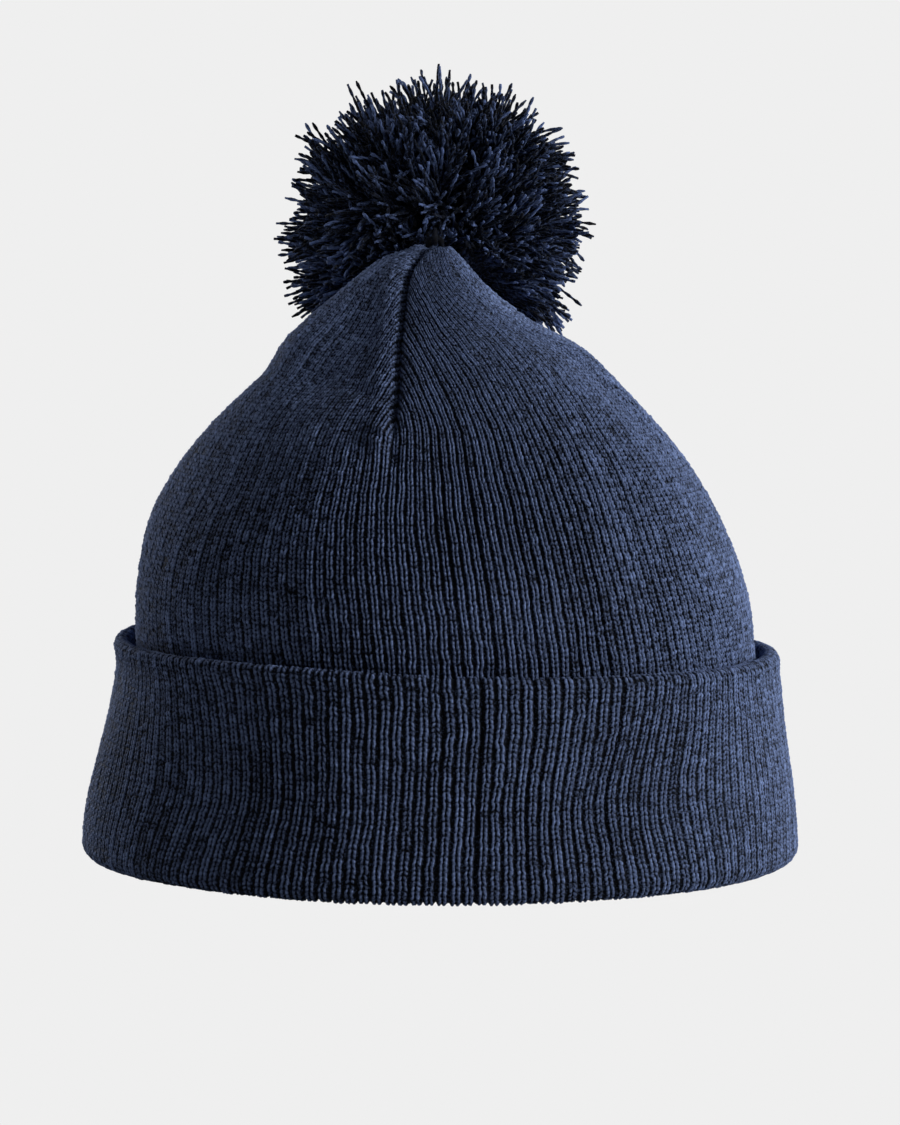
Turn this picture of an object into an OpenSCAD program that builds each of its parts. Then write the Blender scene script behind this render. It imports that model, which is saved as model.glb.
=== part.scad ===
// Pom pom beanie: a double-layer ribbed tube hat with a turned-up cuff, four crown darts
// and a yarn pom pom tied on at the top. Millimetres. Z is up, the origin is the centre of
// the brim's underside, and the front of the hat faces -Y.

/* [Brim and cuff] */
// Radius of the middle of the bottom fold
fold_r = 96.05; // [94:0.05:98]
// Height of the finished cuff
cuff_h = 60; // [56:0.5:62]
// Radius of the middle of the hem at the top of the cuff
hem_r = 90.3; // [90:0.1:91.5]
// How much of the rounded bottom fold is pressed flat by what the hat rests on
fold_press = 0.25; // [0.1:0.05:0.5]

/* [Crown] */
// Crown radius just above the cuff
crown_r = 85.3; // [84:0.1:85.6]
// Radius where the crown starts to run straight up to its point
shoulder_r = 61.8; // [60:0.1:64]
// Height of that place
shoulder_z = 122; // [119:0.5:124]
// Height of the crown's point
crown_top_z = 171.1; // [169:0.1:171.5]
// Radius of the hole that the tie yarn passes through
tie_hole_r = 3; // [2.8:0.1:3.6]

/* [Knitted layers] */
// Thickness of one knitted layer
knit_t = 1.75; // [1.5:0.05:1.8]
// Space between two layers that lie on each other
layer_gap = 0.3; // [0.2:0.05:0.35]
// Extra room between crown and lining at the top, where the seam allowances lie
seam_room = 4.2; // [3.8:0.1:5]

/* [Darts] */
// Turn of the outer layer's darts about the crown's centre
dart_turn = -12; // [-20:1:20]
// Thickness of a seam allowance, which is two edges sewn together
dart_t = 2.4; // [1.6:0.1:3]
// How far a seam allowance stands in from its layer
dart_deep = 3.2; // [2:0.1:3.4]
// Distance from the crown's centre to where the allowances begin
dart_inner_r = 9; // [8:0.5:14]
// Height of an allowance's lower end
dart_low_z = 118; // [112:1:124]

/* [Care label] */
// Direction that the label is sewn in
label_turn = 90; // [0:5:355]
// Width of the label
label_w = 24; // [16:1:30]
// Height of the label
label_h = 18; // [12:1:24]
// Height of the label's sewn top edge
label_top_z = 46; // [40:1:50]
// Thickness of the folded label
label_t = 0.7; // [0.5:0.1:1]

/* [Tie] */
// Height of the loop that the pom pom hangs from
pivot_z = 173.4; // [173.2:0.1:175]
// Radius of the yarn in the tie
tie_yarn_r = 0.8; // [0.7:0.05:0.85]
// Half the distance between the two legs of the tie
tie_leg_x = 1.7; // [1.65:0.05:1.9]
// Radius of the ring of yarn on the pom pom's side
ring_r = 1.9; // [1.8:0.05:2]
// Radius of that ring's yarn
ring_yarn_r = 0.7; // [0.5:0.05:0.75]
// Height of the middle of the knot inside the hat
knot_z = 156; // [154:0.5:157]
// Radius of the knot
knot_r = 4.4; // [4:0.1:4.6]

/* [Pom pom] */
// Radius of the ball of yarn
pom_r = 42; // [38:0.5:43]
// How far behind the crown's point the middle of the ball lies
pom_back = 46; // [44:0.5:48]
// Height of the middle of the ball
pom_z = 172.6; // [171:0.1:176]
// Space between the ball and the crown that it lies on
pom_clear = 0.9; // [0.6:0.1:2]
// Radius of the bound middle of the hank
core_r = 10; // [8:0.5:12]
// Radius of the waist that the binding pulls in
waist_r = 6; // [5:0.5:7]
// Radius of the binding yarn
binding_yarn_r = 1.2; // [1:0.1:1.4]

/* [Hidden] */

$fn = 96;
navy = "#252c42";
deep_navy = "#161b2c";
thread_navy = "#2e3650";
label_white = "#e6e6e2";

dart_count = 4;
// Two layers, one pitch apart
layer_pitch = knit_t + layer_gap;
// Radius of the tight fold in the middle of each turn, at the middle of the inner layer
tight_r = layer_pitch / 2;
// Centre height of the bottom fold
fold_z = layer_pitch + tight_r + knit_t / 2 - fold_press;
// Space between a layer and the seam allowance that is sewn to it
seam_gap = 0.2;
// Centre height of the hem
hem_z = cuff_h - tight_r - knit_t / 2;
// Handles that shape the curves of the walls, each measured from its own end of a curve
brim_pull = [-1.1, 13.3];
cuff_line_pull = [0.2, -20];
belly_pull = [0.7, 26];
shoulder_pull = [13.8, -14.2];
slope_pull = [-12, 13.2];
point_pull = [20.4, -11.9];
hem_pull = [1.4, -18.1];
// Gathering thread: its radius, how far outside the tie's hole it runs, and how far below the
// middle of its layer
gather_yarn_r = 0.55;
gather_out = 1.2;
gather_drop = 2.1;
fold_steps = 6;
crown_steps = 10;
margin = 1;
// Heights between which the lining draws away from the crown
room_from_z = 78;
room_to_z = 112;

// ---- Outlines -----------------------------------------------------------------------

function unit(v) = v / norm(v);
function mix(a, b, t) = a * (1 - t) + b * t;
function smooth(t) = let (c = max(0, min(1, t))) c * c * (3 - 2 * c);
function bez(a, b, c, d, t) = mix(
    mix(mix(a, b, t), mix(b, c, t), t),
    mix(mix(b, c, t), mix(c, d, t), t),
    t
);
// One cubic curve from a to b, without its first point
function curve(a, pull_a, pull_b, b, n) = [for (i = [1 : n]) bez(a, a + pull_a, b + pull_b, b, i / n)];
function arc(centre, r, from, to, n) =
    [for (i = [0 : n]) let (a = mix(from, to, i / n)) centre + r * [cos(a), sin(a)]];
function reversed(p) = [for (i = [len(p) - 1 : -1 : 0]) p[i]];
function mirrored(p, r) = [2 * r - p[0], p[1]];

// Normals along a path, to its left. Both ends are met square, as if mirrored there.
function normals(p) = [
    for (i = [0 : len(p) - 1])
        let (
            before = i == 0 ? mirrored(p[1], p[0][0]) : p[i - 1],
            after = i == len(p) - 1 ? mirrored(p[i - 1], p[i][0]) : p[i + 1],
            d = unit(after - before)
        )
        [-d[1], d[0]]
];
function moved(p, by) = let (n = normals(p)) [for (i = [0 : len(p) - 1]) p[i] + n[i] * by];
// The outline of a layer of the given thickness, with the path along its middle
function band(p, t) = concat(moved(p, t / 2), reversed(moved(p, -t / 2)));

// The crown's outer layer, from the middle of the bottom fold up to the crown's point
crown_path = concat(
    arc([fold_r, fold_z], tight_r, 270, 180, fold_steps),
    curve([fold_r - tight_r, fold_z], brim_pull, cuff_line_pull, [crown_r, cuff_h], crown_steps),
    curve([crown_r, cuff_h], belly_pull, shoulder_pull, [shoulder_r, shoulder_z], crown_steps),
    curve([shoulder_r, shoulder_z], slope_pull, point_pull, [0, crown_top_z], crown_steps)
);

// The lining follows the crown one layer further in, and leaves room for the seams
function room_at(z) = seam_room * smooth((z - room_from_z) / (room_to_z - room_from_z));
function inner_path(p) =
    let (n = normals(p))
    [for (i = [0 : len(p) - 1]) p[i] + n[i] * (layer_pitch + room_at(p[i][1]))];
lining_tip_z = crown_top_z - layer_pitch - seam_room;
lining_path = concat(
    [for (q = inner_path(crown_path)) if (q[0] > tie_hole_r / 2) q],
    [[0, lining_tip_z]]
);

// The cuff's face, from the bottom fold up to the hem
cuff_low = [fold_r + tight_r + layer_pitch, fold_z];
cuff_high = [hem_r + tight_r, hem_z];
function cuff_wall(in) =
    curve(cuff_low - [in, 0], brim_pull, hem_pull, cuff_high - [in, 0], crown_steps);
cuff_face_path = concat(
    arc([fold_r, fold_z], tight_r + layer_pitch, 270, 360, fold_steps),
    cuff_wall(0),
    [for (i = [1 : fold_steps]) arc([hem_r, hem_z], tight_r, 0, 90, fold_steps)[i]]
);
cuff_backing_path = concat(
    arc([fold_r, fold_z], tight_r, 270, 360, fold_steps),
    cuff_wall(layer_pitch),
    [for (i = [1 : fold_steps]) arc([hem_r, hem_z], tight_r, 180, 90, fold_steps)[i]]
);

// A path moved sideways, and of that only what lies outside a radius and above a height
function stretch(p, by, r_min, z_min) =
    let (n = normals(p))
    [for (i = [0 : len(p) - 1]) if (p[i][0] > r_min && p[i][1] > z_min) p[i] + n[i] * by];

// Height of a path at a radius
function height_at(p, r) = lookup(r, [for (q = p) [q[0], q[1]]]);

// ---- Shared shapes ------------------------------------------------------------------

module turned(outline) {
    rotate_extrude() polygon(outline);
}

// Takes away what is below the surface that the brim is pressed on
module pressed_flat() {
    difference() {
        children();
        translate([0, 0, -margin]) cylinder(r = 2 * fold_r, h = margin);
    }
}

module tie_hole() {
    cylinder(r = tie_hole_r, h = crown_top_z + knit_t + margin);
}

module torus(ring, yarn) {
    rotate_extrude() translate([ring, 0]) circle(r = yarn);
}

// Seam allowance: a fin in a plane through the crown's axis, that stands off one side of a
// layer's path above a height: 1 for the inner side and -1 for the outer
module seam_fin(path, side, low_z, turn) {
    root = stretch(path, side * (knit_t / 2 + seam_gap), dart_inner_r, low_z);
    edge = stretch(path, side * (knit_t / 2 + seam_gap + dart_deep), dart_inner_r, low_z);
    last = len(root) - 1;
    // The fin grows from a quarter of its depth at the lower end to all of it
    outline = concat(
        root,
        [for (i = [last : -1 : 0]) mix(root[i], edge[i], smooth(0.33 + i / 3))]
    );
    rotate([90, 0, turn])
        linear_extrude(height = dart_t, center = true)
            polygon(outline);
}

// Moves the ball's own axis from Z to the line from the loop to the ball's middle
pom_tilt = atan2(pom_z - pivot_z, pom_back);
pom_reach = norm([pom_back, pom_z - pivot_z]);
module along_pom() {
    translate([0, 0, pivot_z]) rotate([pom_tilt - 90, 0, 0]) children();
}

// ---- Knitted layers -----------------------------------------------------------------

module outer_crown() {
    color(navy) difference() {
        turned(band(crown_path, knit_t));
        tie_hole();
    }
}

module lining() {
    color(navy) difference() {
        pressed_flat() turned(band(lining_path, knit_t));
        tie_hole();
    }
}

module cuff_backing() {
    color(navy) turned(band(cuff_backing_path, knit_t));
}

module cuff_face() {
    color(navy) pressed_flat() turned(band(cuff_face_path, knit_t));
}

// ---- Seams --------------------------------------------------------------------------

module dart_seam(i) {
    turn = 270 + dart_turn + i * 360 / dart_count;
    color(thread_navy) seam_fin(crown_path, 1, dart_low_z, turn);
}

// The lining's seams lie between the crown's, on the side of the lining that is hidden
module lining_seam(i) {
    turn = 270 + dart_turn + (i + 0.5) * 360 / dart_count;
    low_z = dart_low_z - layer_pitch - seam_room;
    color(thread_navy) seam_fin(lining_path, -1, low_z, turn);
}

// A ring of gathering thread round the tie's hole, under a layer
module gather(path) {
    gather_r = tie_hole_r + gather_out;
    color(thread_navy)
        translate([0, 0, height_at(path, gather_r) - gather_drop]) torus(gather_r, gather_yarn_r);
}

module crown_gather() {
    gather(crown_path);
}

module lining_gather() {
    gather(lining_path);
}

// ---- Care label ---------------------------------------------------------------------

label_span = label_w / crown_r * 180 / PI;
label_wall = moved(
    [for (q = lining_path) if (q[1] > label_top_z - label_h - 10 && q[1] < label_top_z + 10) q],
    knit_t / 2 + 0.2 + label_t / 2
);

module label_slice() {
    rotate([0, 0, label_turn - label_span / 2]) children();
}

module care_label() {
    color(label_white) label_slice() intersection() {
        rotate_extrude(angle = label_span) polygon(band(label_wall, label_t));
        translate([0, 0, label_top_z - label_h]) cylinder(r = fold_r, h = label_h);
    }
}

module label_stitches() {
    stitch_count = 7;
    stitch_r = 0.3;
    step = label_span / stitch_count;
    wall_r = lookup(label_top_z - 2, [for (q = label_wall) [q[1], q[0]]]);
    color(thread_navy) label_slice()
        for (i = [0 : stitch_count - 1])
            rotate([0, 0, (i + 0.2) * step])
                rotate_extrude(angle = step * 0.6)
                    translate([wall_r - label_t / 2 - stitch_r - 0.1, label_top_z - 2])
                        circle(r = stitch_r);
}

// ---- Tie: passes through the crown and turns in its hole ----------------------------

// The knot is flat where the tie's legs run into it
knot_top_z = knot_z + knot_r - 0.6;

module tie_anchor() {
    leg_h = pivot_z - knot_top_z;
    color(deep_navy) {
        translate([0, 0, pivot_z]) rotate([0, 90, 0])
            cylinder(r = tie_yarn_r, h = 2 * tie_leg_x, center = true);
        for (side = [-1, 1]) translate([side * tie_leg_x, 0, pivot_z]) {
            sphere(r = tie_yarn_r);
            translate([0, 0, -leg_h]) cylinder(r = tie_yarn_r, h = leg_h);
        }
    }
}

module anchor_knot() {
    tail_l = 15;
    color(deep_navy) difference() {
        union() {
            translate([0, 0, knot_z]) sphere(r = knot_r);
            for (side = [-1, 1])
                translate([side * 1.2, 0, knot_z - 2]) rotate([180, side * -14, 0])
                    cylinder(r = tie_yarn_r, h = tail_l);
            translate([0, 0, knot_z - 0.8]) rotate([24, 12, 0]) torus(knot_r - 1, 1.5);
        }
        translate([0, 0, knot_top_z]) cylinder(r = knot_r, h = margin);
    }
}

// ---- Pom pom: swings on the tie's loop ----------------------------------------------

// How much of the core is cut flat where the tie yarn meets it
core_flat = 0.5;

module tie_ring() {
    color(deep_navy)
        translate([0, 0, pivot_z]) rotate([0, 90, 0]) torus(ring_r, ring_yarn_r);
}

module tie_yarn() {
    from = ring_r + ring_yarn_r + 0.05;
    color(deep_navy) along_pom() translate([0, 0, from])
        cylinder(r = tie_yarn_r, h = pom_reach - core_r + core_flat - from);
}

// The bound middle of the hank: a ball drawn in to a waist by the binding
module pom_core() {
    groove_r = 2.6;
    color(deep_navy) along_pom() translate([0, 0, pom_reach]) difference() {
        sphere(r = core_r);
        torus(waist_r + groove_r, groove_r);
        translate([0, 0, -core_r]) cylinder(r = core_r, h = core_flat);
    }
}

module pom_binding() {
    color(thread_navy) along_pom()
        translate([0, 0, pom_reach]) torus(waist_r + binding_yarn_r + 0.1, binding_yarn_r);
}

module binding_knot() {
    knot_size = 1.7;
    color(thread_navy) along_pom()
        translate([0, -waist_r - 2 * binding_yarn_r - knot_size - 0.2, pom_reach])
            sphere(r = knot_size);
}

module pom_yarn() {
    core_room = core_r + 2.2;
    over_crown = moved([for (q = crown_path) if (q[1] > cuff_h) q], -knit_t / 2 - pom_clear);
    crown_room = concat(
        [[0, cuff_h]], [[over_crown[0][0], cuff_h]],
        over_crown
    );
    color(deep_navy) difference() {
        along_pom() translate([0, 0, pom_reach]) sphere(r = pom_r);
        along_pom() translate([0, 0, pom_reach]) sphere(r = core_room);
        along_pom() cylinder(r = tie_yarn_r + 0.5, h = pom_reach);
        turned(crown_room);
    }
}

outer_crown();
cuff_backing();
cuff_face();
lining();
dart_seam(0);  // dart_seam_front
dart_seam(1);  // dart_seam_right
dart_seam(2);  // dart_seam_back
dart_seam(3);  // dart_seam_left
lining_seam(0);  // lining_seam_front_right
lining_seam(1);  // lining_seam_back_right
lining_seam(2);  // lining_seam_back_left
lining_seam(3);  // lining_seam_front_left
crown_gather();
lining_gather();
care_label();
label_stitches();
tie_anchor();
anchor_knot();
tie_ring();
tie_yarn();
pom_core();
pom_binding();
binding_knot();
pom_yarn();
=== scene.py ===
"""The pom pom beanie's looks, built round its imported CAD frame: knitted layers stitch by stitch,
the pom pom strand by strand, the tie, the gathers and the label. Lengths are in mm until a mesh
is made, and the hat's front faces -Y."""

import math

import bpy
import numpy as np
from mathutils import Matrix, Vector
from mathutils.bvhtree import BVHTree


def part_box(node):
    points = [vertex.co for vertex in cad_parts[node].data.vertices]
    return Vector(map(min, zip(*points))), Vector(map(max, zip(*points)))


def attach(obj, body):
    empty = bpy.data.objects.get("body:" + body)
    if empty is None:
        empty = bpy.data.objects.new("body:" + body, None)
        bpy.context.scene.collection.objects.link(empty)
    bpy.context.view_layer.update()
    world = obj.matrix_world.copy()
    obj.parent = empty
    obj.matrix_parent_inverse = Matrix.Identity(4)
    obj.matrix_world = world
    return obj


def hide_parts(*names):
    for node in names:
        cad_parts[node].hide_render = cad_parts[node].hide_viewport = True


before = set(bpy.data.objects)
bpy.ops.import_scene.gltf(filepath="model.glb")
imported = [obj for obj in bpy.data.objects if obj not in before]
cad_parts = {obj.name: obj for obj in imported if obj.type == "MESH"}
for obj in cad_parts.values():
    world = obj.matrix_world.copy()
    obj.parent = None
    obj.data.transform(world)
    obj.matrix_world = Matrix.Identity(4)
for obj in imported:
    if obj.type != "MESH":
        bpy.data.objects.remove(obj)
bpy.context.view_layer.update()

MM = 0.001
TAU = 2 * math.pi
rng = np.random.default_rng(20)

# ---- The knit's own numbers ----

RIBS = 184  # ribs round the tube
GORES = 4
gore_ribs = RIBS // GORES
quarter = TAU / GORES  # turn from one dart to the next
COURSE = 1.31  # height of one row of stitches
RELIEF = 1.45  # depth of the channel between two ribs
PROUD = 0.2  # how far the ribs stand proud of the CAD surface
SLANT = 1.5  # how many courses a stitch's leg climbs over the width of one rib
# Across one rib: place from its middle in rib widths, height as a share of the relief, and
# how deep the notch between two stitches cuts there
ACROSS = np.array([
    (-0.50, 0.00, 0.00), (-0.385, 0.36, 0.14), (-0.28, 0.95, 0.26), (-0.14, 0.98, 0.22),
    (0.00, 0.40, 0.55), (0.14, 0.98, 0.22), (0.28, 0.95, 0.26), (0.385, 0.36, 0.14),
])
# Up one stitch: place in courses, and how much of the notch is felt there
UP = np.array([(0.00, 1.00), (0.34, 0.22), (0.68, 0.00)])
COURSE_STEP = 1 / len(UP)  # courses between two rows of points
MOST_ROWS = 900  # rows of the random tables, as many as a patch can have
PLAIN_STEP = 4  # courses between two rows of points where the cloth is hidden
SWAY, SHAKE = 0.022, 0.026  # how far a rib strays, slowly and from stitch to stitch, in ribs
SHUT_DEPTH = 0.42  # share of their depth that the channels keep where they are shut
SHUT_RELIEF = 0.58  # share of the relief that is left there
WIDE_CHANNEL = 1.15  # a channel deeper than this share of the relief is wide too
WIDENING = 0.23  # how fast its neighbours give way with its depth


def smooth(t):
    """A soft step, from 0 at 0 to 1 at 1."""
    t = np.clip(t, 0, 1)
    return t * t * (3 - 2 * t)


def hump(x, middle, width):
    """A soft rise of height 1 about a middle."""
    return np.exp(-(((x - middle) / width) ** 2))


def unit(v):
    """Vectors brought to length 1."""
    return np.array(v) / np.linalg.norm(v, axis=-1, keepdims=True)


def grid_faces(index):
    """Quads between the points of a grid of numbered points."""
    return np.stack([index[:-1, :-1], index[:-1, 1:], index[1:, 1:], index[1:, :-1]], -1)


# ---- Outlines read from the CAD nodes ----


def node_middle(name):
    """The middle of a CAD node's box, in mm."""
    return np.array([(a + b) / 2 / MM for a, b in zip(*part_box(name))])


def node_size(name):
    """The size of a CAD node's box, in mm."""
    return np.array([(b - a) / MM for a, b in zip(*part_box(name))])


def wall(name, heights, inside=False):
    """(radius, height) of a turned CAD node's outer or inner wall at each height."""
    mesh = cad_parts[name].data
    tree = BVHTree.FromPolygons([v.co for v in mesh.vertices], [p.vertices for p in mesh.polygons])
    way = Vector((1, 0, 0)) if inside else Vector((-1, 0, 0))
    found = []
    for z in heights:
        hit = tree.ray_cast(Vector((0 if inside else 1, 0, z * MM)), way)[0]
        if hit is not None:
            found.append((hit.x / MM, z))
    return found


class Outline:
    """A line in the plane through the hat's axis, measured along its length, with the normal on
    the side that shows: 1 is the right of the way it runs, and -1 the left."""

    def __init__(self, points, side, blur):
        points = np.array(points, float)
        step = 0.25
        along = np.concatenate(([0], np.cumsum(np.hypot(*np.diff(points, axis=0).T))))
        self.s = np.arange(0, along[-1], step)
        line = [np.interp(self.s, along, points[:, i]) for i in (0, 1)]
        if blur:
            n = int(3 * blur / step)
            kernel = np.exp(-0.5 * (np.arange(-n, n + 1) * step / blur) ** 2)
            kernel = kernel / kernel.sum()
            padded = [np.pad(c, n, mode="reflect", reflect_type="odd") for c in line]
            line = [np.convolve(c, kernel, "valid") for c in padded]
        self.r, self.z = line
        dr, dz = np.gradient(self.r), np.gradient(self.z)
        size = np.hypot(dr, dz)
        self.nr, self.nz = side * dz / size, -side * dr / size
        self.length = self.s[-1]

    def at(self, s):
        """Radius, height, and the normal's two parts at lengths along the line."""
        return [np.interp(s, self.s, v) for v in (self.r, self.z, self.nr, self.nz)]


def arc(centre, radius, start, end, n=8):
    """Points on an arc from one angle to another, in degrees."""
    turn = np.radians(np.linspace(start, end, n + 1))
    return list(zip(centre[0] + radius * np.cos(turn), centre[1] + radius * np.sin(turn)))


cuff_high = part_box("cuff_face")[1]
brim_r, cuff_top = cuff_high.x / MM, cuff_high.z / MM
fold_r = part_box("lining")[1].x / MM
fold_half = brim_r - fold_r
fold_centre = (fold_r, fold_half - 0.25)
crown_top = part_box("outer_crown")[1].z / MM
lining_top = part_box("lining")[1].z / MM
dart_middle = node_middle("dart_seam_front")
dart_turn = math.atan2(dart_middle[1], dart_middle[0])
dart_low_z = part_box("dart_seam_front")[0].z / MM
HEM_HALF = 1.9  # half the thickness of the hem at the top of the cuff
HEM_TILT = -0.026  # the cuff's hem is a little higher on the left
TIE_HOLE = 2.7  # radius of the hole that the tie passes through
tip_z = crown_top + 1.5  # the cloth that is gathered round the tie stands a little proud

crown = Outline(
    wall("outer_crown", np.arange(3.0, crown_top - 6, 2.0))
    + [(7.4, tip_z - 3.4), (5.0, tip_z - 0.8), (3.4, tip_z)]
    + [(TIE_HOLE, tip_z - 1.2), (TIE_HOLE, tip_z - 4)],
    side=1, blur=1.6,
)
cuff_wall = wall("cuff_face", np.arange(4.5, cuff_top - HEM_HALF, 2.0))
hem_centre = (cuff_wall[-1][0] - HEM_HALF, cuff_top - HEM_HALF)
cuff = Outline(
    [(r, max(z, 0)) for r, z in arc(fold_centre, fold_half, 258, 360)]
    + cuff_wall
    + arc(hem_centre, HEM_HALF, 0, 180)
    + [(r - 2 * HEM_HALF, z) for r, z in cuff_wall[-2:-9:-1]],
    side=1, blur=0,
)
lining = Outline(
    [(r, max(z, 0)) for r, z in arc(fold_centre, fold_half, 270, 180)]
    + wall("lining", np.arange(5.0, lining_top - 6, 2.0), inside=True)
    + [(2.5, lining_top - 3.2), (0.5, lining_top - 2.6)],
    side=-1, blur=0,
)

# ---- Soft shape: what knitted cloth does between the CAD's true circles ----

LEFT = math.pi  # turn about the axis at which the left is, seen from the front
TAMED = 1.6  # keeps a field of waves within about -1 to 1


def waves(count, turns, length, seed):
    """A smooth random field round the hat and along its outline, about -1 to 1."""
    r = np.random.default_rng(seed)
    parts = [
        (r.integers(1, turns + 1), r.normal() * TAU / length, r.uniform(0, TAU), r.uniform(0.5, 1))
        for _ in range(count)
    ]
    norm = math.sqrt(sum(p[3] ** 2 for p in parts) / 2)

    def field(turn, s):
        return sum(a * np.sin(k * turn + m * s + p) for k, m, p, a in parts) / norm / TAMED

    return field


drift_wide = waves(5, 5, 160, 3)
drift_fine = waves(9, 26, 34, 4)
dents = waves(7, 6, 90, 5)
hem_wave = waves(5, 7, 400, 6)
RIB_LIFT = np.random.default_rng(7).normal(0, 1, RIBS)
# Depth of the channel before each rib, as a share of the relief: some at random are deep, and
# so are four in the middle of the front
CHANNEL = np.random.default_rng(8).uniform(0.75, 1.15, RIBS)
CHANNEL[np.random.default_rng(9).choice(RIBS, 14, replace=False)] = 1.4
CHANNEL[[5, 6, 9, 13]] = (1.2, 1.65, 1.85, 1.4)


def softened(seed, passes):
    """A random value for every stitch, drawn towards those above and below it."""
    table = np.random.default_rng(seed).normal(size=(MOST_ROWS, RIBS))
    for _ in range(passes):
        table = (np.roll(table, 1, 0) + 2 * table + np.roll(table, -1, 0)) / 4
    return table / table.std()


# Every stitch differs a little: how proud it stands, and how far aside its rib lies there
STITCH_LIFT, WOBBLE, SHIVER = softened(11, 1), softened(12, 12), softened(13, 2)


def lean(z):
    """How far the hat's middle stands to the side at a height: it slumps a little to the left."""
    return 1.4 + 2.2 * smooth(z / 55) - 4.3 * smooth((z - 48) / 55) + 0.7 * smooth((z - 140) / 30)


def slack(turn, z):
    """At the left the cloth sinks in a little above the cuff, and the brim is rounder. At the
    right the cuff stands out."""
    sunk = -2.2 * smooth(np.cos(turn - LEFT)) * hump(z, 112, 15)
    round_brim = 0.9 * smooth(np.cos(turn - LEFT)) * hump(z, 12, 12)
    return sunk + round_brim + 1.6 * smooth(np.cos(turn)) * hump(z, 30, 20)


def brim_rise(turn, z):
    """How much higher the brim stands at the left, where it is rounder too."""
    return 1.3 * smooth(np.cos(turn - LEFT)) * (1 - smooth(z / 35))


def past_dart(turn):
    """How far round a place is past the nearest of the four darts."""
    return (turn - dart_turn + quarter / 2) % quarter - quarter / 2


def dart_shape(turn, r, z):
    """How far the crown's cloth stands out or in beside its darts."""
    across = np.abs(past_dart(turn)) * r
    up = smooth((z - dart_low_z + 4) / 14)
    front = smooth(np.cos(turn - dart_turn) * 2)
    groove = -(1.3 + 1.3 * front) * hump(across, 0, 1.0) * up * smooth((r - 2) / (8 - 3 * front))
    shoulder = 1.0 * hump(across, 4.5, 3.5) * up * smooth((r - 4) / 14)
    lobe = -1.2 * np.cos(4 * (turn - dart_turn)) * smooth((z - 95) / 45) * smooth((r - 4) / 18)
    return groove + shoulder + lobe


def fullness(r):
    """How much fuller the crown's left stands, by distance from the axis."""
    return 3.1 * smooth((50 - r) / 12) * smooth((r - 1) / 14)


def puff(turn, r, z):
    """The crown slumps to the left below the point: fuller there, and flatter on the right."""
    left = np.cos(turn - math.radians(190))
    full = fullness(r) * smooth(left)
    flat = -4.2 * smooth(-left) * smooth((46 - r) / 20) * smooth((r - 3) / 18)
    hollow = -3.3 * hump((turn - math.radians(229)) * r, 0, 12) * hump(z, 145, 11)
    return (full + flat) * smooth((z - 120) / 20) + hollow


def pucker(turn, r, z):
    """The little knot of cloth at the lower end of each dart."""
    beside, up = past_dart(turn) * r, z - dart_low_z
    bump = hump(beside, -3.2, 3.0) * hump(up, 0.5, 4.2)
    folds = 1 + 0.4 * np.cos(TAU * (0.7 * up + 0.5 * beside) / 2.6)
    dip = hump(beside, 1.2, 1.8) * hump(up, -3.5, 4.0)
    crease = hump(up + 0.28 * (beside + 6), 12, 1.6) * hump(beside, -8, 6)
    front = 0.15 + 0.85 * smooth(np.cos(turn - dart_turn) * 1.5)
    return front * (1.9 * bump * folds - 1.5 * dip - 0.9 * crease)


# ---- Knitting: one patch of cloth ----


def linked(name, data):
    """A new object in the scene."""
    ob = bpy.data.objects.new(name, data)
    bpy.context.scene.collection.objects.link(ob)
    return ob


def mesh_object(name, co, faces, material, uv=None, shade=None):
    """A mesh object from numpy arrays. co is in mm, uv and shade hold a value for each vertex."""
    mesh = bpy.data.meshes.new(name)
    faces = np.asarray(faces, np.int32)
    corners = faces.shape[1]
    mesh.vertices.add(len(co))
    mesh.vertices.foreach_set("co", (np.asarray(co) * MM).astype(np.float32).ravel())
    mesh.loops.add(faces.size)
    mesh.loops.foreach_set("vertex_index", faces.ravel())
    mesh.polygons.add(len(faces))
    mesh.polygons.foreach_set("loop_start", np.arange(0, faces.size, corners, dtype=np.int32))
    if uv is not None:
        layer = mesh.uv_layers.new(name="knit")
        layer.data.foreach_set("uv", np.asarray(uv, np.float32)[faces.ravel()].ravel())
    # shade carries painted light and shade for the material's colour, with some random tone
    if shade is not None:
        values = mesh.attributes.new("shade", "FLOAT", "POINT")
        values.data.foreach_set("value", np.asarray(shade, np.float32))
    mesh.materials.append(material)
    mesh.update(calc_edges=True)
    mesh.validate()
    mesh.shade_smooth()
    return linked(name, mesh)


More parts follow.
